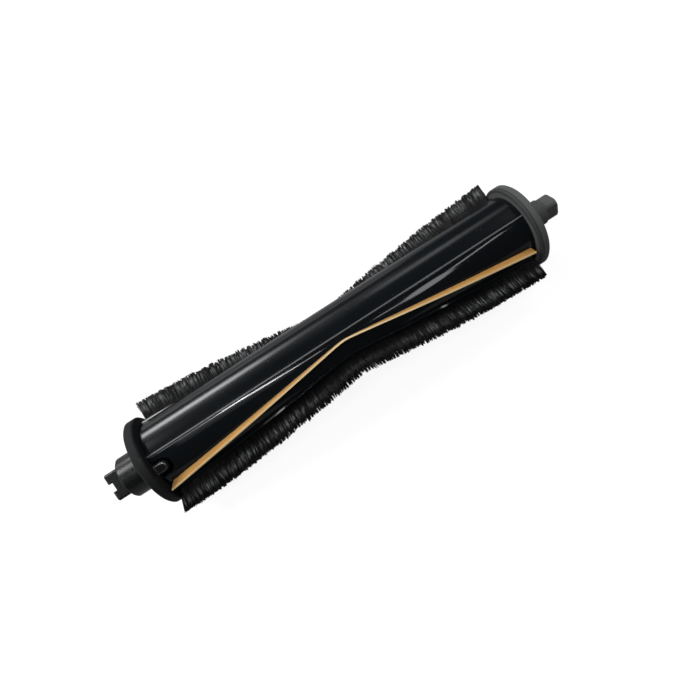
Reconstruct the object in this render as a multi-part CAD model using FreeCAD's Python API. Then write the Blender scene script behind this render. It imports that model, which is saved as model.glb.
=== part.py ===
import FreeCAD, Part
import math
import os

V = FreeCAD.Vector
AXIS = V(1, 0, 0)
CENTRE = V(0, 0, 0)

# Roller brush of a robot vacuum, in millimetres and degrees.
# X is the roller's axis, from the idle end to the drive end, and zero is the
# drive flange's outer face. Angles turn about X from straight up, right-handed.

# Flanges and core
flange_span = 163.0
flange_dia = 34.0
flange_thick = 3.8
flange_edge = 0.5
core_dia = 27.6
bore_dia = 17.6

# Chevron of the strips: turn from the apex to the core's ends. Its loft stations crowd at the apex
chevron_angle = 42.2
apex_round = 2.0
stations_per_half = 8
station_crowding = 1.7
run_past_core = 2.0

# Wiper blades
blade_angle = 32.0
blade_tip_dia = 33.6
blade_stem = 0.8
blade_tip = 0.6
blade_foot = 3.4
blade_foot_thick = 1.3
blade_floor_dia = 21.4
blade_end_gap = 2.2
blade_rake = 1.6

# Bristle rows and their backing strips
bristle_lag_angle = 33.6
bristle_tip_dia = 43.7
bristle_root = 3.0
bristle_tip = 3.6
tuft_pitch = 4.8
tuft_gap = 0.9
tuft_notch = 2.2
tuft_lean_length = 0.35
backing_foot = 5.6
backing_neck = 4.0
neck_depth = 0.2
backing_floor_dia = 21.0
backing_top_dia = 27.2
lip_width = 0.9
lip_height = 0.35
lip_edge = 0.4
lip_sink = 0.4

# Fit of the strips in their channels, and of everything between the flanges
strip_clear = 0.1
end_clear = 0.3

# Moulded ridge along the core
ridge_lag_angle = -10.6
ridge_radius = 0.45
ridge_proud = 0.22
ridge_start = 2.5

# Notches at the idle end and the keys in them
notch_lag_angle = 12.0
notch_width = 6.3
notch_length = 6.4
key_width = 4.2
key_length = 4.5
key_sink = 0.5
key_edge = 0.6

# End caps
spigot_length = 12.0
rib_width = 3.0
rib_depth = 1.2
rib_clear = 0.1
boss_dia = 10.1
boss_length = 9.5
boss_edge = 0.4
peg_flats = 7.4
peg_corners = 9.1
peg_length = 5.2
peg_edge = 0.4
peg_angle = 30.0

# Bearing cup at the idle end
hub_dia = 15.9
hub_length = 10.4
hub_gap = 0.3
hub_edge = 0.5
nose_side = 10.5
nose_length = 5.2
nose_corner = 0.8
nose_edge = 0.5
nose_slot_width = 3.0
nose_slot_depth = 1.7
nose_angle = 30.0
pocket_dia = 7.2
pocket_depth = 3.0

# Axle pin and what runs on it
pin_dia = 4.0
pin_seat = 12.0
pin_end_gap = 0.7
pin_edge = 0.4
run_clear = 0.04
bush_dia = 8.0
washer_dia = 9.0
washer_thick = 0.5
washer_hole_clear = 0.05
washer_recess_dia = 9.8
end_play = 0.15
ring_dia = 6.4
ring_thick = 0.8

flange_r = flange_dia / 2
core_r = core_dia / 2
bore_r = bore_dia / 2
pin_r = pin_dia / 2
x_drive_in = -flange_thick
x_idle_out = -flange_span
x_idle_in = x_idle_out + flange_thick
x_mid = x_idle_out / 2
core_length = x_drive_in - x_idle_in
core_half = core_length / 2
x_hub_end = x_idle_out - hub_length
x_nose_end = x_hub_end - nose_length


def chevron(x):
    """Turn of a strip at x, counted from its apex in the middle."""
    reach = math.hypot(core_half, apex_round) - apex_round
    return chevron_angle * (math.hypot(x - x_mid, apex_round) - apex_round) / reach


def station_list():
    half = core_half + run_past_core
    steps = range(-stations_per_half, stations_per_half + 1)
    spread = [abs(k / stations_per_half) ** station_crowding for k in steps]
    return [x_mid + math.copysign(s * half, k) for s, k in zip(spread, steps)]


def swept(profile, apex):
    """Solid with the (across, outward) profile, following the chevron past both core ends."""
    wires = []
    for x in station_list():
        a = math.radians(apex + chevron(x))
        points = []
        for t, h in profile:
            y = -h * math.sin(a) - t * math.cos(a)
            z = h * math.cos(a) - t * math.sin(a)
            points.append(V(x, y, z))
        wires.append(Part.makePolygon(points + points[:1]))
    return Part.makeLoft(wires, True, False)


def tee(foot, foot_thick, stem, top, floor_h, top_h):
    """T-shaped profile: a foot at floor_h and a stem that tapers to its top."""
    step = floor_h + foot_thick
    right = [(foot / 2, floor_h), (foot / 2, step), (stem / 2, step), (top / 2, top_h)]
    left = [(-t, h) for t, h in reversed(right)]
    return right + left


def turned(shape, angle):
    copy = shape.copy()
    copy.rotate(CENTRE, AXIS, angle)
    return copy


def rod(dia, x_start, x_end):
    return Part.makeCylinder(dia / 2, x_end - x_start, V(x_start, 0, 0), AXIS)


def lathe(outline):
    """Solid of revolution about the axis, from (x, radius) points."""
    points = [V(x, 0, r) for x, r in outline]
    face = Part.Face(Part.makePolygon(points + points[:1]))
    return face.revolve(CENTRE, AXIS, 360)


def slab(x_start, x_end):
    reach = bristle_tip_dia
    return Part.makeBox(x_end - x_start, 2 * reach, 2 * reach, V(x_start, -reach, -reach))


def pair(shape):
    return [shape, turned(shape, 180)]


def blade_profile(clear, top_h, top):
    floor_h = blade_floor_dia / 2
    wide = 2 * clear
    return tee(blade_foot + wide, blade_foot_thick + clear, blade_stem + wide, top + wide, floor_h, top_h)


def backing_profile(clear, top_h):
    """Dovetail that narrows to its neck just under the core's surface, as far up as top_h."""
    floor_h = backing_floor_dia / 2
    foot = backing_foot / 2 + clear
    neck = backing_neck / 2 + clear
    slope = (foot - neck) / (core_r - neck_depth - floor_h)
    top = foot - slope * (top_h - floor_h)
    return [(foot, floor_h), (top, top_h), (-top, top_h), (-foot, floor_h)]


def make_core():
    row_angle = blade_angle + bristle_lag_angle
    body = rod(core_dia, x_idle_in, x_drive_in)
    # Low lips that guard the roots of the bristle rows
    half_lip = backing_neck / 2 + strip_clear + lip_width
    lip_top = core_r + lip_height
    lip = [(half_lip, core_r - lip_sink), (half_lip - lip_edge, lip_top)]
    lip = lip + [(-t, h) for t, h in reversed(lip)]
    lip_run = swept(lip, row_angle).common(slab(x_idle_in, x_drive_in))
    # Fine ridge on each side, straight along the core
    ridge_dia = 2 * ridge_radius
    ridge = rod(ridge_dia, x_idle_in + ridge_start, x_drive_in)
    ridge.translate(V(0, 0, core_r + ridge_proud - ridge_radius))
    ridge = turned(ridge, blade_angle + ridge_lag_angle)
    body = body.multiFuse(pair(lip_run) + pair(ridge))
    # Channels for the strips, and the bore
    past = core_r + 2
    blade_cut = swept(blade_profile(strip_clear, past, blade_stem), blade_angle)
    backing_cut = swept(backing_profile(strip_clear, past), row_angle)
    bore = rod(bore_dia, x_idle_in - 1, x_drive_in + 1)
    body = body.cut(pair(blade_cut) + pair(backing_cut) + [bore])
    # Round-ended notches at the idle end, keyways in the bore at the drive end
    notch = turned(key_block(notch_width, notch_length, past, 1), blade_angle + notch_lag_angle)
    keyway_width = rib_width + 2 * rib_clear
    keyway_top = bore_r + rib_depth + rib_clear
    keyway_end = x_drive_in - spigot_length - rib_clear
    keyway = Part.makeBox(spigot_length + 1, keyway_width, keyway_top, V(keyway_end, -keyway_width / 2, 0))
    return body.cut(pair(notch) + pair(turned(keyway, blade_angle)))


def key_block(width, length, top, back):
    """Block that reaches from the idle flange into the core, with a half-round end."""
    straight = length - width / 2
    box = Part.makeBox(straight + back, width, top, V(x_idle_in - back, -width / 2, 0))
    nose = Part.makeCylinder(width / 2, top, V(x_idle_in + straight, 0, 0), V(0, 0, 1))
    return box.fuse(nose).removeSplitter()


def make_blade():
    tip_r = blade_tip_dia / 2
    x_root = x_idle_in + blade_end_gap
    x_tip = x_root - blade_rake
    strip = swept(blade_profile(0, tip_r, blade_tip), blade_angle)
    strip = strip.common(slab(x_tip, x_drive_in - blade_end_gap))
    # The idle end is cut on a slant, longest at the tip
    wedge = Part.makePolygon([
        V(x_root, -blade_foot, 0),
        V(x_root, -blade_foot, core_r),
        V(x_tip, -blade_foot, tip_r),
        V(x_tip - blade_rake, -blade_foot, tip_r),
        V(x_tip - blade_rake, -blade_foot, 0),
        V(x_root, -blade_foot, 0),
    ])
    wedge = Part.Face(wedge).extrude(V(0, 2 * blade_foot, 0))
    return strip.cut(turned(wedge, blade_angle + chevron(x_root)))


def make_backing():
    strip = swept(backing_profile(0, backing_top_dia / 2), blade_angle + bristle_lag_angle)
    return strip.common(slab(x_idle_in + end_clear, x_drive_in - end_clear))


def make_bristles():
    """Wall of bristles with a ragged top, nicked between its tufts."""
    apex = blade_angle + bristle_lag_angle
    root_h = backing_top_dia / 2
    tip_h = bristle_tip_dia / 2
    right = [(bristle_root / 2, root_h), (bristle_tip / 2, tip_h)]
    wall = swept(right + [(-t, h) for t, h in reversed(right)], apex)
    x_start = x_idle_in + end_clear
    x_end = x_drive_in - end_clear
    wall = wall.common(slab(x_start, x_end))
    tufts = round((x_end - x_start) / tuft_pitch)
    pitch = (x_end - x_start) / tufts
    nicks = []
    for k in range(1, tufts):
        x = x_start + k * pitch
        depth = tuft_notch * (0.65 + 0.35 * math.sin(2.4 * k))
        lean = tuft_lean_length * math.sin(1.7 * k)
        nick = Part.makePolygon([
            V(x + lean, -bristle_tip, tip_h - depth),
            V(x - tuft_gap / 2, -bristle_tip, tip_h + 0.5),
            V(x + tuft_gap / 2, -bristle_tip, tip_h + 0.5),
            V(x + lean, -bristle_tip, tip_h - depth),
        ])
        nick = Part.Face(nick).extrude(V(0, 2 * bristle_tip, 0))
        nicks.append(turned(nick, apex + chevron(x)))
    return wall.cut(nicks)


def flange_outline(x_in, x_out):
    """Half section of a flange, its rim chamfered on both sides."""
    way = math.copysign(1, x_out - x_in)
    return [
        (x_in, 0),
        (x_in, flange_r - flange_edge),
        (x_in + way * flange_edge, flange_r),
        (x_out - way * flange_edge, flange_r),
        (x_out, flange_r - flange_edge),
        (x_out, 0),
    ]


def make_drive_cap():
    flange = lathe(flange_outline(x_drive_in, 0))
    boss = lathe([
        (0, 0),
        (0, boss_dia / 2),
        (boss_length - boss_edge, boss_dia / 2),
        (boss_length, boss_dia / 2 - boss_edge),
        (boss_length, 0),
    ])
    # Square peg with its corners turned down and its end edges eased
    peg_end = boss_length + peg_length
    peg = Part.makeBox(peg_length, peg_flats, peg_flats, V(boss_length, -peg_flats / 2, -peg_flats / 2))
    peg = turned(peg, peg_angle + 45)
    corner_r = peg_corners / 2
    peg = peg.common(lathe([
        (boss_length, 0),
        (boss_length, corner_r),
        (peg_end - peg_edge, corner_r),
        (peg_end, corner_r - peg_edge),
        (peg_end, 0),
    ]))
    spigot = rod(bore_dia, x_drive_in - spigot_length, x_drive_in)
    rib_top = bore_r + rib_depth
    rib = Part.makeBox(spigot_length, rib_width, rib_top, V(x_drive_in - spigot_length, -rib_width / 2, 0))
    ribs = pair(turned(rib, blade_angle))
    return flange.multiFuse([boss, peg, spigot] + ribs).removeSplitter()


def make_idle_cap():
    flange = lathe(flange_outline(x_idle_in, x_idle_out))
    spigot = rod(bore_dia, x_idle_in, x_idle_in + spigot_length)
    key_top = core_r - key_sink
    key = key_block(key_width, key_length, key_top, 0.5)
    rim = [e for e in key.Edges if e.BoundBox.ZMin > key_top - 0.01 and e.BoundBox.XMax > x_idle_in]
    key = turned(key.makeChamfer(key_edge, rim), blade_angle + notch_lag_angle)
    hole = rod(pin_dia, x_idle_out - 1, x_idle_out + pin_seat)
    return flange.multiFuse([spigot] + pair(key)).cut(hole).removeSplitter()


def make_bearing_cup():
    x_start = x_idle_out - hub_gap
    hub = lathe([
        (x_start, 0),
        (x_start, hub_dia / 2),
        (x_hub_end + hub_edge, hub_dia / 2),
        (x_hub_end, hub_dia / 2 - hub_edge),
        (x_hub_end, 0),
    ])
    nose = Part.makeBox(nose_length, nose_side, nose_side, V(x_nose_end, -nose_side / 2, -nose_side / 2))
    long_edges = [e for e in nose.Edges if abs(e.tangentAt(e.FirstParameter).x) > 0.5]
    nose = nose.makeFillet(nose_corner, long_edges)
    end_edges = [e for e in nose.Edges if abs(e.BoundBox.XMax - x_nose_end) < 0.01]
    nose = nose.makeChamfer(nose_edge, end_edges)
    # Slot across the end of the nose, seen end-on from the side that faces up
    slot = Part.makeBox(nose_slot_depth + 1, nose_slot_width, 2 * nose_side,
                        V(x_nose_end - 1, -nose_slot_width / 2, -nose_side))
    nose = turned(nose.cut(slot), nose_angle)
    recess_floor = x_idle_out - washer_thick - end_play
    recess = rod(washer_recess_dia, recess_floor, x_start + 1)
    bush_hole = rod(bush_dia, x_nose_end + pocket_depth, recess_floor)
    pocket = rod(pocket_dia, x_nose_end - 1, x_nose_end + pocket_depth)
    return hub.fuse(nose).cut([recess, bush_hole, pocket]).removeSplitter()


def make_bush():
    x_start = x_nose_end + pocket_depth
    x_end = x_idle_out - washer_thick - end_play
    return rod(bush_dia, x_start, x_end).cut(rod(pin_dia + 2 * run_clear, x_start - 1, x_end + 1))


def make_pin():
    x_tip = x_nose_end + pin_end_gap
    return lathe([
        (x_tip, 0),
        (x_tip, pin_r - pin_edge),
        (x_tip + pin_edge, pin_r),
        (x_idle_out + pin_seat, pin_r),
        (x_idle_out + pin_seat, 0),
    ])


def make_washer():
    x_start = x_idle_out - washer_thick
    hole = rod(pin_dia + 2 * washer_hole_clear, x_start - 1, x_idle_out + 1)
    return rod(washer_dia, x_start, x_idle_out).cut(hole)


def make_ring():
    x_end = x_nose_end + pocket_depth - end_play
    x_start = x_end - ring_thick
    return rod(ring_dia, x_start, x_end).cut(rod(pin_dia, x_start - 1, x_end + 1))


os.makedirs("parts", exist_ok=True)

blades = pair(make_blade())
backings = pair(make_backing())
rows = pair(make_bristles())
nodes = {
    "roller_core": make_core(),
    "bristle_backing_a": backings[0],
    "bristle_backing_b": backings[1],
    "bristles_a": rows[0],
    "bristles_b": rows[1],
    "wiper_blade_a": blades[0],
    "wiper_blade_b": blades[1],
    "drive_end_cap": make_drive_cap(),
    "idle_end_cap": make_idle_cap(),
    "axle_pin": make_pin(),
    "thrust_washer": make_washer(),
    "retaining_ring": make_ring(),
    "bearing_cup": make_bearing_cup(),
    "bearing_bush": make_bush(),
}
for name, shape in nodes.items():
    shape.exportStep("parts/" + name + ".step")
    print(name, shape.isValid(), len(shape.Solids), round(shape.Volume / 1000, 2), "cm3")
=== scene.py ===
import math

import bpy
import numpy as np
from mathutils import Matrix, Vector


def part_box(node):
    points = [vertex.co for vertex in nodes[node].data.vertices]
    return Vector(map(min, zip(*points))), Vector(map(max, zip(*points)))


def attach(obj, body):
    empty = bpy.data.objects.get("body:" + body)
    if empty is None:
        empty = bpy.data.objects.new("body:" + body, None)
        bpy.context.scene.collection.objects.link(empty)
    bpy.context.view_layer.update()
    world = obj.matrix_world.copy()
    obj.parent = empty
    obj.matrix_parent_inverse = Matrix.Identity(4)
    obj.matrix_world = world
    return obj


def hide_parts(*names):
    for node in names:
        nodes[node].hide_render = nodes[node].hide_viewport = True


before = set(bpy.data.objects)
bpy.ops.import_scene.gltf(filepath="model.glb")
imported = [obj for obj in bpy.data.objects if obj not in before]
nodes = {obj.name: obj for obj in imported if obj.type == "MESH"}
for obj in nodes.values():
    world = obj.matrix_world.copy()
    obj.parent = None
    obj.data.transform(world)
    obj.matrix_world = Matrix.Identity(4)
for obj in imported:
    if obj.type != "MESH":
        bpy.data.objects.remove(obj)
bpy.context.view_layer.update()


# Roller core
# A tube moulded in black ABS, glossy from a polished mould. Four chevron channels
# in it hold the strips, and a fine ridge runs along it on each side.
class Socket:
    """An output socket of a material's nodes. Arithmetic on it adds Math nodes."""

    def __init__(self, link):
        self.link = link
        self.tree = link.id_data

    def node(self, kind, settings, inputs, output=0):
        """Adds a node, sets it up, feeds its sockets and returns one of its outputs."""
        made = self.tree.nodes.new("ShaderNode" + kind)
        for name, value in settings.items():
            setattr(made, name, value)
        for name, value in inputs.items():
            if isinstance(value, Socket):
                self.tree.links.new(value.link, made.inputs[name])
            else:
                made.inputs[name].default_value = value
        return Socket(made.outputs[output])

    def math(self, operation, *values):
        return self.node("Math", {"operation": operation}, dict(enumerate(values)))

    def __add__(self, other):
        return self.math("ADD", self, other)

    __radd__ = __add__

    def __sub__(self, other):
        return self.math("SUBTRACT", self, other)

    def __rsub__(self, other):
        return self.math("SUBTRACT", other, self)

    def __mul__(self, other):
        return self.math("MULTIPLY", self, other)

    __rmul__ = __mul__

    def part(self, axis):
        """One coordinate of a vector socket."""
        return self.node("SeparateXYZ", {}, {0: self}, axis)

    def noise(self, scale, detail=2.0):
        """Soft noise from 0 to 1 at these coordinates, with scale features to the metre."""
        return self.node("TexNoise", {}, {"Vector": self, "Scale": scale, "Detail": detail}, "Fac")

    def step(self, low, high):
        """0 below low, 1 above high and a smooth step between them."""
        settings = {"interpolation_type": "SMOOTHSTEP"}
        return self.node("MapRange", settings, {"Value": self, "From Min": low, "From Max": high})

    def between(self, first, second):
        """A colour that goes from the first to the second as this value goes from 0 to 1."""
        return self.node("Mix", {"data_type": "RGBA"}, {0: self, 6: first, 7: second}, 2)

    def bump(self, height, normal=None):
        """The normal of a surface that this value, from 0 to 1, raises by that many metres."""
        inputs = {"Height": self, "Distance": height}
        if normal:
            inputs["Normal"] = normal
        return self.node("Bump", {}, inputs, "Normal")


def grey(level, warmth=0.0):
    """An almost neutral colour, cool where warmth is below 0."""
    return (level * (1 + warmth), level, level * (1 - warmth), 1)


def start_finish(name):
    """A new material, and the place on the object in metres as its first socket."""
    material = bpy.data.materials.new(name)
    material.use_nodes = True
    return material, Socket(material.node_tree.nodes.new("ShaderNodeTexCoord").outputs["Object"])


def end_finish(material, **inputs):
    """Feeds the material's shader, from sockets or fixed values."""
    tree = material.node_tree
    for name, value in inputs.items():
        target = tree.nodes["Principled BSDF"].inputs[name.replace("_", " ")]
        if isinstance(value, Socket):
            tree.links.new(value.link, target)
        else:
            target.default_value = value
    return material


def dress(material, *names):
    """Gives CAD nodes a material without a change to their meshes."""
    for name in names:
        slot = nodes[name].material_slots[0]
        slot.link = "OBJECT"
        slot.material = material


def around_axis(place):
    """The place unrolled about the roller's axis: along it, round it and out from it."""
    y = place.part("Y")
    z = place.part("Z")
    turn = place.math("ARCTAN2", y, z)
    out = place.math("SQRT", y * y + z * z)
    return place.part("X"), turn, out


core_radius = 0.0138
core_edge = 0.00015
core_peel = 0.000003
ridge_turn = math.radians(21.4)
ridge_highlight_turn = math.radians(20.0)
# Cosines of twice the angle from the painted highlight line on the ridges to where that painted
# highlight ends and where it is full
ridge_highlight_band = (0.9988, 0.9996)


def core_finish():
    material, place = start_finish("core_gloss_black")
    along, turn, out = around_axis(place)
    cloud = place.noise(45, 3)
    # Hair that winds round the roller leaves fine scratches across its length
    scratch_place = place.node("CombineXYZ", {}, {0: along, 1: turn * 0.0012, 2: out * 0.1})
    scratch = scratch_place.noise(2600, 2).step(0.62, 0.8)
    dust = place.noise(1500, 1).step(0.74, 0.8)
    peel = place.noise(220, 2)
    # The ridges mark where a satin part of the mould meets a polished one
    polished = place.math("COSINE", 2 * turn + 2 * ridge_turn + math.pi / 2).step(-0.02, 0.02)
    # Their tops carry a pale painted highlight, in patches, and are a little rougher there
    ridge = place.math("COSINE", 2 * turn + 2 * ridge_highlight_turn).step(*ridge_highlight_band)
    patchy = place.noise(300, 3).step(0.1, 0.4)
    wear_and_highlight = ridge * out.step(core_radius - 0.0001, core_radius) * patchy
    # The tube itself is truly round, so the gloss on it runs smoothly over the facets
    edge = place.node("Bevel", {"samples": 4}, {"Radius": core_edge}, "Normal")
    above_channels = out.step(core_radius - 0.00012, core_radius - 0.00006)
    on_ridge = out.step(core_radius + 0.00002, core_radius + 0.00006)
    barrel = above_channels - on_ridge
    radial = place.node("CombineXYZ", {}, {1: place.part("Y"), 2: place.part("Z")})
    to_world = {"vector_type": "NORMAL", "convert_from": "OBJECT", "convert_to": "WORLD"}
    outward = place.node("VectorTransform", to_world, {"Vector": radial}, "Vector")
    outward = place.node("VectorMath", {"operation": "NORMALIZE"}, {0: outward}, "Vector")
    skin = barrel.node("Mix", {"data_type": "VECTOR"}, {0: barrel, 4: edge, 5: outward}, 1)
    colour = cloud.between(grey(0.0028, -0.3), grey(0.0048, -0.25))
    dusty = (dust * 0.5).between(colour, grey(0.03))
    marks = cloud * 0.04 + scratch * 0.03 + dust * 0.15 + wear_and_highlight * 0.2
    return end_finish(
        material,
        # Pale painted highlight along the ridge tops
        Base_Color=wear_and_highlight.between(dusty, grey(0.07, -0.05)),
        Roughness=0.17 - 0.12 * polished + marks,
        Normal=peel.bump(core_peel, skin),
        Specular_IOR_Level=0.25,
    )


dress(core_finish(), "roller_core")


# Bristle backing strips
# Extruded black polypropylene, a dovetail that slides into its channel from the end.
# The bristles are fused into its top face.
rib_waves = 5200
rib_height = 0.00003


def backing_finish():
    material, place = start_finish("backing_black")
    rib = place.math("SINE", place.part("X") * rib_waves)
    cloud = place.noise(500, 3)
    return end_finish(
        material,
        Base_Color=cloud.between(grey(0.008), grey(0.02)),
        Roughness=0.55 + cloud * 0.2,
        Normal=(rib * 0.5 + 0.5).bump(rib_height),
    )


dress(backing_finish(), "bristle_backing_a", "bristle_backing_b")


# Bristle rows
# Crimped black nylon filaments, thousands in a row, cut to length after they are
# fused to the backing. Each row follows the chevron, and the two are half a turn apart.
bristle_count = 14500
bristle_thick = 0.00021
bristle_sink = 0.0004
bristle_waver = 0.00012
bristle_taper = (1.0, 0.95, 0.7)
row_root = 0.0136
row_reach = 0.02185
row_width_root = 0.0029
row_width_tip = 0.0036
row_turn = math.radians(65.6)
chevron_turn = math.radians(42.2)
chevron_round = 0.002
tip_rise = 0.0004
tip_uneven = 0.00025
tip_sideways = 0.00018
clump_sizes = (0.0003, 0.0013)
clump_lanes = 3
clump_pinch = 0.4
clump_shift = 0.00025
clump_uneven = 0.0005
stray_share = 0.02
stray_reach = 0.0006
end_reach = 0.0003
splay_tuft = 0.0022
bent_share = 0.04
bent_zone = 0.001
bent_at_idle = (0.0005, 0.003)
bent_at_drive = (0.0003, 0.0012)
root_shade_end = (0.0158, 0.0198)
cut_end_shade_span = (row_reach - 0.0028, row_reach - 0.0006)
bend_shade_reach = (0.012, 0.032)
strand_relief = 0.00002
core_low, core_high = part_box("roller_core")
core_half = (core_high.x - core_low.x) / 2
bend_x = (core_high.x + core_low.x) / 2


def chevron(x):
    """Turn of a strip about the axis at x, from its apex in the middle of the core."""
    reach = math.hypot(core_half, chevron_round) - chevron_round
    return chevron_turn * (np.hypot(x - bend_x, chevron_round) - chevron_round) / reach


def bristle_row(name, node, apex, start, splay, seed):
    """A row of filaments in a node's place, begun that far in and splayed at the idle end."""
    draw = np.random.default_rng(seed)
    low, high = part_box(node)
    low.x += start
    step = (high.x - low.x) / bristle_count
    x = low.x + (np.arange(bristle_count) + draw.random(bristle_count)) * step
    across = draw.uniform(-1, 1, bristle_count)
    # Filaments gather in small clumps whose tips draw together and end at about one height
    edges = low.x + np.cumsum(draw.uniform(*clump_sizes, bristle_count))
    along_row = np.searchsorted(edges, x)
    lane = np.floor((across + 1) / 2 * clump_lanes)
    clump = (along_row * clump_lanes + lane).astype(int)
    clump_total = clump.max() + 1
    members = np.maximum(np.bincount(clump, minlength=clump_total), 1)
    clump_middle = np.bincount(clump, x, clump_total) / members
    clump_x = (clump_middle + draw.normal(0, clump_shift, clump_total))[clump]
    clump_drop = np.abs(draw.normal(0, clump_uneven, clump_total))[clump]
    clump_across = (lane + 0.5) / clump_lanes * 2 - 1
    tip_drop = clump_drop + np.abs(draw.normal(0, tip_uneven, bristle_count))
    tip_out = row_reach + tip_rise - tip_drop
    stray = draw.random(bristle_count) < stray_share
    tip_out += np.where(stray, draw.uniform(0.0, stray_reach, bristle_count), 0)
    tip_x = x + clump_pinch * (clump_x - x) + draw.normal(0, bristle_waver, bristle_count)
    tip_x += np.where(stray, draw.normal(0, stray_reach, bristle_count), 0)
    tip_x = np.clip(tip_x, low.x - end_reach, high.x + end_reach)
    # The last tuft at the idle end is pushed outwards, and a few filaments at both ends are bent
    tip_x -= splay * np.clip(1 - (x - low.x) / splay_tuft, 0, 1) ** 0.5
    bent = draw.random(bristle_count) < bent_share
    at_idle = bent & (x < low.x + bent_zone)
    at_drive = bent & (x > high.x - bent_zone)
    tip_x -= np.where(at_idle, draw.uniform(*bent_at_idle, bristle_count), 0)
    tip_x += np.where(at_drive, draw.uniform(*bent_at_drive, bristle_count), 0)
    tip_side = across + clump_pinch * (clump_across - across)
    tip_across = tip_side * row_width_tip / 2 + draw.normal(0, tip_sideways, bristle_count)
    turn = apex + chevron(x)
    outward = np.stack([np.zeros_like(x), -np.sin(turn), np.cos(turn)], 1)
    sideways = np.stack([np.zeros_like(x), -np.cos(turn), -np.sin(turn)], 1)
    lengthways = np.zeros_like(outward) + [1.0, 0.0, 0.0]

    def spine(along, side, out):
        return along[:, None] * lengthways + side[:, None] * sideways + out[:, None] * outward

    root = spine(x, across * row_width_root / 2, np.full_like(x, row_root - bristle_sink))
    tip = spine(tip_x, tip_across, tip_out)
    crimp_along = draw.normal(0, bristle_waver, bristle_count)
    crimp_across = draw.normal(0, bristle_waver, bristle_count)
    middle = (root + tip) / 2 + spine(crimp_along, crimp_across, 0 * x)
    # Three-sided filaments: a ring at the root, one at the middle and one at the cut end
    phase = draw.uniform(0, 2 * math.pi, bristle_count)
    rings = []
    for centre, thickness in zip((root, middle, tip), bristle_taper):
        for corner in range(3):
            angle = phase + corner * 2 * math.pi / 3
            offset = np.cos(angle)[:, None] * lengthways + np.sin(angle)[:, None] * sideways
            rings.append(centre + offset * bristle_thick / 2 * thickness)
    points = np.stack(rings, 1).reshape(-1, 3)
    sides = []
    for ring in (0, 3):
        for corner in range(3):
            following = (corner + 1) % 3
            sides.append([ring + corner, ring + following, ring + 3 + following])
            sides.append([ring + corner, ring + 3 + following, ring + 3 + corner])
    sides.append([6, 7, 8])
    faces = np.array(sides)[None] + len(rings) * np.arange(bristle_count)[:, None, None]
    mesh = bpy.data.meshes.new(name)
    mesh.from_pydata(points.tolist(), [], faces.reshape(-1, 3).tolist())
    mesh.polygons.foreach_set("use_smooth", np.ones(len(mesh.polygons), bool))
    row = bpy.data.objects.new(name, mesh)
    bpy.context.scene.collection.objects.link(row)
    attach(row, "roller")
    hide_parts(node)
    return row


def bristle_finish():
    material, place = start_finish("bristle_nylon")
    along, turn, out = around_axis(place)
    # Noise on the unrolled row, drawn out along the filaments
    rolled = turn * row_reach
    strand_place = place.node("CombineXYZ", {}, {0: along, 1: rolled, 2: out * 0.05})
    strand = strand_place.noise(4600, 1)
    clump_place = place.node("CombineXYZ", {}, {0: along, 1: rolled, 2: out * 0.08})
    clump = clump_place.noise(1150, 1)
    cloud = place.noise(380, 2)
    # Pale strands on the flanks are a painted sheen. It is left off at the roots and the cut ends,
    # which is painted shade
    cut_end_shade = out.step(*cut_end_shade_span)
    flank = out.step(*root_shade_end) * (1 - 0.92 * cut_end_shade)
    # Near the bend the painted sheen is mostly left off, as painted shade
    from_bend = place.math("ABSOLUTE", along - bend_x)
    bend_shade_factor = 0.12 + 0.88 * from_bend.step(*bend_shade_reach)
    painted_sheen = strand.step(0.36, 0.66) * clump.step(0.42, 0.6) * flank * bend_shade_factor
    return end_finish(
        material,
        # Painted sheen: pale strands on the dark nylon
        Base_Color=painted_sheen.between(cloud.between(grey(0.0008), grey(0.0018)), grey(0.28, -0.04)),
        Roughness=0.4 + strand * 0.2,
        Normal=strand.bump(strand_relief),
        Specular_IOR_Level=0.25,
    )


nylon = bristle_finish()
row_a = bristle_row(
    "bristle_row_a", "bristles_a", apex=row_turn, start=0, splay=0.0024, seed=11
)
row_b = bristle_row(
    "bristle_row_b", "bristles_b", apex=row_turn + math.pi, start=0.0013, splay=0.0003, seed=23
)
for row in (row_a, row_b):
    row.data.materials.append(nylon)


# Wiper blades
# Moulded in gold thermoplastic rubber, slightly translucent, with a T-shaped root that
# slides into the channel. The thin tip is painted paler, a painted glow of light shining through
# it.
blade_tip_glow_span = (0.01655, 0.01678)
blade_tip_glow = (0.67, 0.52, 0.31, 1)
blade_dark = (0.315, 0.158, 0.040, 1)
blade_light = (0.38, 0.202, 0.056, 1)
blade_grain = 0.00001


def blade_finish():
    material, place = start_finish("blade_gold")
    out = around_axis(place)[2]
    cloud = place.noise(120, 4)
    grain = place.noise(2400, 2)
    flank = cloud.between(blade_dark, blade_light)
    return end_finish(
        material,
        # Paler tip: painted glow of light through the thin rubber
        Base_Color=out.step(*blade_tip_glow_span).between(flank, blade_tip_glow),
        Specular_IOR_Level=0.3,
        Roughness=0.42 + grain * 0.14,
        Normal=grain.bump(blade_grain),
        Subsurface_Weight=0.12,
        Subsurface_Radius=(0.0012, 0.0007, 0.0003),
        Subsurface_Scale=1.0,
    )


dress(blade_finish(), "wiper_blade_a", "wiper_blade_b")


# Drive end cap
# Moulded in dark grey glass-filled nylon with a fine matte texture. Its ribbed spigot
# is pressed into the core's bore, and the square peg fits the brush gearbox.
cap_edge = 0.0006
rim_from = (0.0155, 0.0160)
lip_shade_fade = 0.00015
groove_shade_width = (0.00022, 0.0001)


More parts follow.
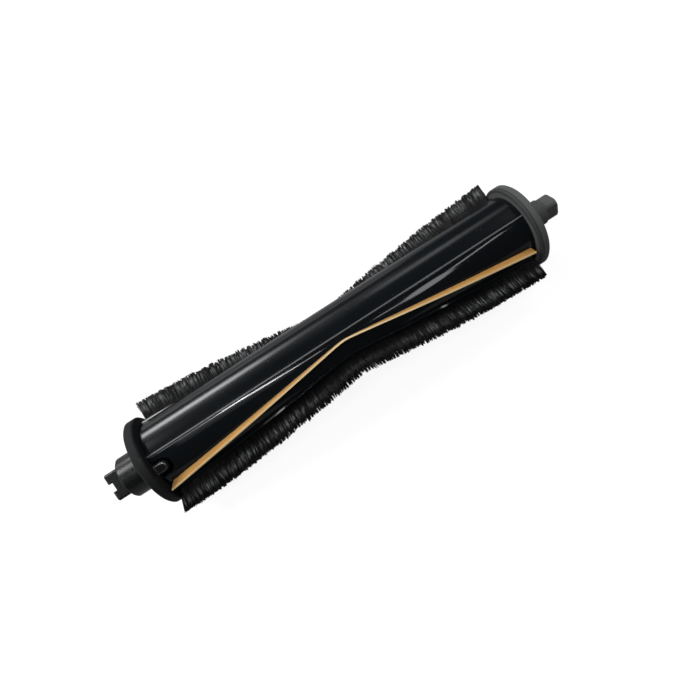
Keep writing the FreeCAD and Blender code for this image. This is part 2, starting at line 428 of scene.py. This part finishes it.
def cap_finish(
    name, dark, light, scuffed, roughness, gloss, grain_height, seam=0, inward=0, key_reach=0
):
    """Moulded plastic, its mould parted at seam, with painted shade on the rim's lip on the inward
    side of the seam and a painted dark groove line at the seam. Edges are burnished that lie
    inside key_reach.
    """
    material, place = start_finish(name)
    along, _, out = around_axis(place)
    grain = place.noise(1900, 3)
    cloud = place.noise(90, 3)
    scuff = place.noise(420, 2).step(0.6, 0.78)
    edge = place.node("Bevel", {"samples": 4}, {"Radius": cap_edge}, "Normal")
    flat = place.node("NewGeometry", {}, {}, "Normal")
    square = place.node("VectorMath", {"operation": "DOT_PRODUCT"}, {0: edge, 1: flat}, "Value")
    rubbed = (1 - square).step(0.01, 0.12)
    burnished = rubbed * out.step(key_reach + 0.0002, key_reach)
    # The mould parts along the rim. Its lip on the core's side gets painted shade, and the seam a
    # painted dark groove line
    painted_lip_shade = ((along - seam) * inward).step(-lip_shade_fade, lip_shade_fade) * out.step(*rim_from)
    painted_groove_shade = place.math("ABSOLUTE", along - seam).step(*groove_shade_width) * painted_lip_shade
    colour = (painted_lip_shade * 0.6 + painted_groove_shade * 0.35).between(cloud.between(dark, light), grey(0.002))
    wear_and_highlight = (scuff * 0.15 + rubbed * 0.4 * (1 - painted_lip_shade)).between(colour, scuffed)
    smoother = scuff * 0.08 + rubbed * 0.45 * roughness + burnished * 0.17
    return end_finish(
        material,
        Base_Color=burnished.between(wear_and_highlight, grey(0.3)),
        Metallic=burnished,
        Roughness=roughness + grain * 0.15 - smoother,
        Normal=grain.bump(grain_height, edge),
        Specular_IOR_Level=gloss,
    )


cap_grey = cap_finish(
    "cap_grey",
    dark=grey(0.056, -0.03),
    light=grey(0.07, -0.01),
    scuffed=grey(0.12, -0.02),
    roughness=0.6,
    gloss=0.25,
    grain_height=0.00003,
    # Painted shade on the rim's lip on the core's side of this seam
    seam=-0.0026,
    inward=-1,
)
dress(cap_grey, "drive_end_cap")


# Idle end cap and bearing cup
# Satin black acetal mouldings. The cap's spigot and two keys lock it into the core, and
# the cup stays still in the machine while the cap's pin turns in it.
cap_black = cap_finish(
    "cap_black",
    dark=grey(0.005, -0.12),
    light=grey(0.008, -0.1),
    scuffed=grey(0.05),
    roughness=0.6,
    gloss=0.14,
    grain_height=0.00002,
    # Painted shade on the rim's lip on the core's side of this seam
    seam=-0.1602,
    inward=1,
    key_reach=core_radius,
)
cup_black = cap_finish(
    "cup_black",
    dark=grey(0.003, -0.12),
    light=grey(0.006, -0.1),
    scuffed=grey(0.05),
    roughness=0.22,
    gloss=0.3,
    grain_height=0.000015,
)
dress(cap_black, "idle_end_cap")
dress(cup_black, "bearing_cup")


# Axle pin and retaining ring
# A ground steel pin pressed into the idle end cap. A spring steel ring pushed onto its
# end keeps the bearing cup on.
grinding_depth = 0.000004


def steel_finish():
    material, place = start_finish("pin_steel")
    along, turn, _ = around_axis(place)
    ground = place.node("CombineXYZ", {}, {0: along, 1: turn * 0.0004}).noise(9000, 2)
    cloud = place.noise(400, 2)
    return end_finish(
        material,
        Base_Color=cloud.between(grey(0.5), grey(0.62, 0.01)),
        Metallic=1.0,
        Roughness=0.22 + ground * 0.2,
        Normal=ground.bump(grinding_depth),
    )


dress(steel_finish(), "axle_pin", "retaining_ring")


# Thrust washer
# Stamped from natural acetal sheet, loose on the pin between the cap and the bush.
washer_dark = (0.6, 0.58, 0.53, 1)
washer_light = (0.7, 0.68, 0.63, 1)
washer_relief = 0.00001


def washer_finish():
    material, place = start_finish("washer_plastic")
    cloud = place.noise(700, 3)
    return end_finish(
        material,
        Base_Color=cloud.between(washer_dark, washer_light),
        Roughness=0.4 + cloud * 0.15,
        Normal=cloud.bump(washer_relief),
    )


dress(washer_finish(), "thrust_washer")


# Bearing bush
# Sintered bronze soaked in oil, pressed into the cup. The pin runs in its bore.
bronze_dark = (0.42, 0.25, 0.11, 1)
bronze_light = (0.52, 0.33, 0.16, 1)
bronze_pore = (0.16, 0.09, 0.04, 1)
pore_depth = 0.00002


def bush_finish():
    material, place = start_finish("bush_bronze")
    pore = place.noise(6000, 2).step(0.58, 0.7)
    cloud = place.noise(500, 3)
    return end_finish(
        material,
        Base_Color=pore.between(cloud.between(bronze_dark, bronze_light), bronze_pore),
        Metallic=1.0,
        Roughness=0.38 + pore * 0.3,
        Normal=(1 - pore).bump(pore_depth),
    )


dress(bush_finish(), "bearing_bush")


# Studio
# A white table under soft boxes, a row of them behind the roller like a window and thin ones
# in front. The camera looks down from the front, turned so that the roller lies aslant.
view_lift = math.radians(60)
view_out = Vector((0, -math.cos(view_lift), math.sin(view_lift)))
view_up = Vector((0, math.sin(view_lift), math.cos(view_lift)))
along_roller = Vector((1, 0, 0))
roller_middle = bend_x * along_roller


def seen(right, up, out):
    """A place given along the roller, up in the view across it, and out to the viewer."""
    return roller_middle + right * along_roller + up * view_up + out * view_out


def facing(where, target, side):
    """Axes of a lamp or camera at a place, that looks at a target with its side that way."""
    look = (target - where).normalized()
    right = (side - side.dot(look) * look).normalized()
    up = right.cross(look)
    return Matrix((right, up, -look)).transposed().to_4x4()


def softbox(
    name,
    where,
    width,
    height,
    radiance,
    side=along_roller,
    target=roller_middle,
    shape="RECTANGLE",
):
    """A lamp of even radiance that faces a target, its width along that side."""
    lamp = bpy.data.lights.new(name, "AREA")
    lamp.shape = shape
    lamp.size = width
    lamp.size_y = height
    area = width * height * (math.pi / 4 if shape == "ELLIPSE" else 1)
    lamp.energy = radiance * math.pi * area
    box = bpy.data.objects.new(name, lamp)
    box.matrix_world = Matrix.Translation(where) @ facing(where, target, side)
    box.visible_camera = False
    bpy.context.scene.collection.objects.link(box)


def strip(name, start, end, width, radiance):
    """A narrow lamp from one place to another."""
    across = end - start
    middle = (start + end) / 2
    target = roller_middle - (roller_middle - middle).project(across)
    softbox(name, middle, across.length, width, radiance, across, target)


# Name, place in the view, width, height and radiance. The window is brightest on the left,
# its sills soften the lower edge of its gloss, and the horizon lies low behind the roller
for name, where, width, height, radiance in (
    ("window_left", (-0.245, 0.6993, 0.0305), 0.200, 0.155, 18.0),
    ("window_left_end", (-0.1175, 0.6993, 0.0305), 0.055, 0.155, 12.5),
    ("window_inner", (-0.060, 0.6993, 0.0305), 0.060, 0.155, 3.9),
    ("window_middle", (0.005, 0.6993, 0.0305), 0.070, 0.155, 1.8),
    ("window_fade", (0.115, 0.6993, 0.0305), 0.150, 0.155, 0.7),
    ("window_right", (0.205, 0.6771, 0.1776), 0.170, 0.150, 3.0),
    ("window_right_end", (0.340, 0.6771, 0.1776), 0.100, 0.150, 1.6),
    ("sill_left", (-0.260, 0.6729, 0.1929), 0.170, 0.135, 1.4),
    ("sill", (-0.040, 0.6729, 0.1929), 0.270, 0.135, 0.5),
    ("sill_low", (-0.120, 0.6181, 0.3286), 0.450, 0.165, 0.2),
    ("horizon_left", (-0.22, 0.6265, -0.3123), 0.30, 0.085, 1.4),
    ("horizon", (0.06, 0.6265, -0.3123), 0.26, 0.085, 0.9),
    ("side_left", (-0.56, 0.52, 0.37), 0.22, 0.30, 14.0),
    ("side_left_end", (-0.43, 0.50, 0.395), 0.06, 0.21, 50.0),
    ("side_right", (0.62, 0.42, 0.40), 0.34, 0.40, 6.5),
    ("side_front", (-0.60, 0.05, 0.48), 0.30, 0.30, 4.0),
    ("front_glow_wide", (-0.114, 0.044, 0.404), 0.145, 0.105, 0.6),
    ("front_glow", (-0.114, 0.070, 0.400), 0.145, 0.05, 0.9),
):
    softbox(name, seen(*where), width, height, radiance)
softbox("front_leaf", seen(0.136, -0.025, 0.408), 0.066, 0.100, 8.0, shape="ELLIPSE")

# Name, both ends in the view, width and radiance of the strips that draw the core's gloss line
for name, start, end, width, radiance in (
    ("front_left_end", (-0.215, 0.106, 0.396), (-0.160, 0.106, 0.396), 0.030, 9.0),
    ("front_left_rise", (-0.160, 0.106, 0.396), (-0.135, 0.101, 0.397), 0.020, 22.0),
    ("front_left", (-0.135, 0.101, 0.397), (-0.100, 0.090, 0.400), 0.016, 80.0),
    ("front_inner", (-0.100, 0.086, 0.401), (-0.060, 0.057, 0.406), 0.016, 52.0),
    ("front_middle", (-0.060, 0.057, 0.406), (-0.033, 0.044, 0.408), 0.012, 36.0),
    ("front_fade", (-0.033, 0.044, 0.408), (-0.005, 0.041, 0.408), 0.012, 15.0),
    ("front_right", (0.066, -0.002, 0.410), (0.104, -0.028, 0.409), 0.014, 9.0),
    ("front_far", (0.168, 0.006, 0.410), (0.241, 0.066, 0.404), 0.016, 11.0),
):
    strip(name, seen(*start), seen(*end), width, radiance)

sky_light = 0.05
sky_mirrored = 0.02
floor_mirrored = 0.24
floor_reach = 1.6
floor_corners = 60
floor_white = 0.91
floor_whitens = (0.2, 0.7)


def shown_white(tree, mirrored):
    """1 where the camera sees a surface itself, and that much where gloss or glass shows it."""
    path = tree.nodes.new("ShaderNodeLightPath").outputs
    glossy = Socket(path["Is Glossy Ray"])
    through = Socket(path["Is Transmission Ray"])
    return Socket(path["Is Camera Ray"]) + mirrored * (glossy + through)


world = bpy.data.worlds.new("studio")
world.use_nodes = True
sky = world.node_tree.nodes["Background"]
sky.inputs["Color"].default_value = grey(1.0)
sky_level = sky_light + (1 - sky_light) * shown_white(world.node_tree, sky_mirrored)
world.node_tree.links.new(sky_level.link, sky.inputs["Strength"])
bpy.context.scene.world = world

floor_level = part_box("drive_end_cap")[0].z
floor_rim = []
for corner in range(floor_corners):
    angle = 2 * math.pi * corner / floor_corners
    rim_x = roller_middle.x + floor_reach * math.cos(angle)
    floor_rim.append((rim_x, floor_reach * math.sin(angle), floor_level))
floor_mesh = bpy.data.meshes.new("floor")
floor_mesh.from_pydata(floor_rim, [], [range(len(floor_rim))])
floor = bpy.data.objects.new("floor", floor_mesh)
bpy.context.scene.collection.objects.link(floor)


def floor_finish():
    """White card. Most of its white is its own and lamps add the rest, so the shadow shows."""
    material, place = start_finish("floor_white")
    end_finish(material, Base_Color=grey(0.12), Roughness=0.9, Specular_IOR_Level=0.0)
    tree = material.node_tree
    x, y = place.part("X"), place.part("Y")
    far = place.math("SQRT", x * x + y * y).step(*floor_whitens)
    shown = shown_white(tree, floor_mirrored) * (floor_white + (1 - floor_white) * far)
    glow = shown.node("Emission", {}, {"Color": grey(1.0), "Strength": shown})
    card = Socket(tree.nodes["Principled BSDF"].outputs["BSDF"])
    both = card.node("AddShader", {}, {0: card, 1: glow})
    tree.links.new(both.link, tree.nodes["Material Output"].inputs["Surface"])
    return material


floor_mesh.materials.append(floor_finish())

camera_reach = 0.1932
camera_slide = -0.0101
aim_slide = 0.0009
aim_drop = 0.00485
camera_roll = math.radians(32.97)
camera_lens = 26.65
camera_sensor = 36
camera_near = 0.005
eye = seen(camera_slide, 0, camera_reach)
axes = facing(eye, seen(aim_slide, -aim_drop, 0), along_roller)
camera = bpy.data.cameras.new("camera")
camera.lens = camera_lens
camera.sensor_width = camera_sensor
camera.clip_start = camera_near
camera_object = bpy.data.objects.new("camera", camera)
aslant = Matrix.Rotation(-camera_roll, 4, "Z")
camera_object.matrix_world = Matrix.Translation(eye) @ axes @ aslant
bpy.context.scene.collection.objects.link(camera_object)
bpy.context.scene.camera = camera_object
bpy.context.scene.view_settings.view_transform = "Standard"
